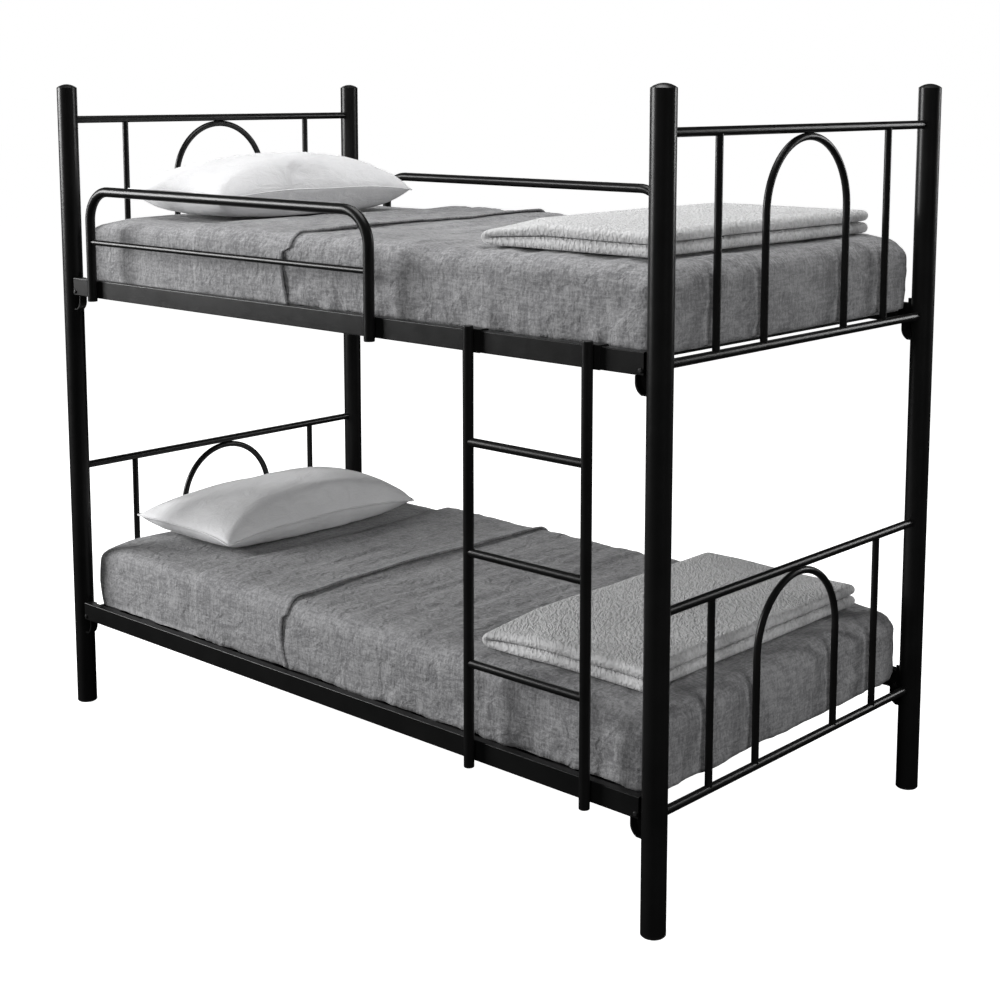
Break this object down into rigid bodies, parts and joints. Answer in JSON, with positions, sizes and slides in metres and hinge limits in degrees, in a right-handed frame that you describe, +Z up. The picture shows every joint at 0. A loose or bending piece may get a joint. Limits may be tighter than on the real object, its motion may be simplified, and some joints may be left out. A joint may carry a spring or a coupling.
{
  "type": "bunk bed",
  "caption": "Metal bunk bed with arched end panels, a hook-on ladder, bent-tube guard rails and made-up bedding on both berths.",
  "frame": {"origin": "on the floor, at the middle of the bed", "axes": "+X towards the foot end, -Y towards the ladder side, +Z up"},
  "size_m": [2.004, 1.078, 1.672],
  "materials": {
    "black_powder_coat": "satin",
    "support_steel": "matte",
    "black_fastener": "satin",
    "black_plastic": "satin",
    "grey_fitted_sheet": "matte",
    "grey_duvet": "matte",
    "white_pillowcase": "matte",
    "light_grey_throw": "matte"
  },
  "bodies": {
    "root": {"post_head_front": "black_powder_coat", "post_head_rear": "black_powder_coat", "post_foot_front": "black_powder_coat", "post_foot_rear": "black_powder_coat", "post_caps": "black_plastic", "floor_glides": "black_plastic", "head_upper_top_rail": "black_powder_coat", "head_upper_bottom_rail": "black_powder_coat", "head_upper_spindles": "black_powder_coat", "head_upper_arch": "black_powder_coat", "head_lower_top_rail": "black_powder_coat", "head_lower_bottom_rail": "black_powder_coat", "head_lower_spindles": "black_powder_coat", "head_lower_arch": "black_powder_coat", "foot_upper_top_rail": "black_powder_coat", "foot_upper_bottom_rail": "black_powder_coat", "foot_upper_spindles": "black_powder_coat", "foot_upper_arch": "black_powder_coat", "foot_lower_top_rail": "black_powder_coat", "foot_lower_bottom_rail": "black_powder_coat", "foot_lower_spindles": "black_powder_coat", "foot_lower_arch": "black_powder_coat", "side_rail_upper_front": "black_powder_coat", "side_rail_upper_rear": "black_powder_coat", "side_rail_lower_front": "black_powder_coat", "side_rail_lower_rear": "black_powder_coat", "rail_brackets_upper": "black_powder_coat", "rail_brackets_lower": "black_powder_coat", "rail_bolts": "black_fastener", "slat_ledges_upper": "support_steel", "slat_ledges_lower": "support_steel", "slats_upper": "support_steel", "slats_lower": "support_steel", "guard_front_tube": "black_powder_coat", "guard_front_bar": "black_powder_coat", "guard_rear_tube": "black_powder_coat", "guard_rear_bar": "black_powder_coat", "guard_plugs": "black_plastic", "guard_bolts": "black_fastener"},
    "ladder": {"ladder_stile_head_side": "black_powder_coat", "ladder_stile_foot_side": "black_powder_coat", "ladder_rung_1": "black_powder_coat", "ladder_rung_2": "black_powder_coat", "ladder_rung_3": "black_powder_coat", "ladder_hook_head_side": "black_powder_coat", "ladder_hook_foot_side": "black_powder_coat", "ladder_plugs": "black_plastic"},
    "bedding_upper": {"mattress_upper": "grey_fitted_sheet", "duvet_upper": "grey_duvet"},
    "pillow_upper_body": {"pillow_upper": "white_pillowcase"},
    "throw_upper_body": {"throw_upper": "light_grey_throw"},
    "bedding_lower": {"mattress_lower": "grey_fitted_sheet", "duvet_lower": "grey_duvet"},
    "pillow_lower_body": {"pillow_lower": "white_pillowcase"},
    "throw_lower_body": {"throw_lower": "light_grey_throw"}
  },
  "joints": [
    {"name": "ladder_lift", "type": "slide", "parent": "root", "child": "ladder", "axis": [0, 0, 1], "range_m": [0, 0.06]},
    {"name": "mattress_upper_lift", "type": "slide", "parent": "root", "child": "bedding_upper", "axis": [0, 0, 1], "range_m": [0, 0.15]},
    {"name": "pillow_upper_lift", "type": "slide", "parent": "bedding_upper", "child": "pillow_upper_body", "axis": [0, 0, 1], "range_m": [0, 0.15]},
    {"name": "throw_upper_lift", "type": "slide", "parent": "bedding_upper", "child": "throw_upper_body", "axis": [0, 0, 1], "range_m": [0, 0.15]},
    {"name": "mattress_lower_lift", "type": "slide", "parent": "root", "child": "bedding_lower", "axis": [0, 0, 1], "range_m": [0, 0.15]},
    {"name": "pillow_lower_lift", "type": "slide", "parent": "bedding_lower", "child": "pillow_lower_body", "axis": [0, 0, 1], "range_m": [0, 0.15]},
    {"name": "throw_lower_lift", "type": "slide", "parent": "bedding_lower", "child": "throw_lower_body", "axis": [0, 0, 1], "range_m": [0, 0.15]}
  ]
}
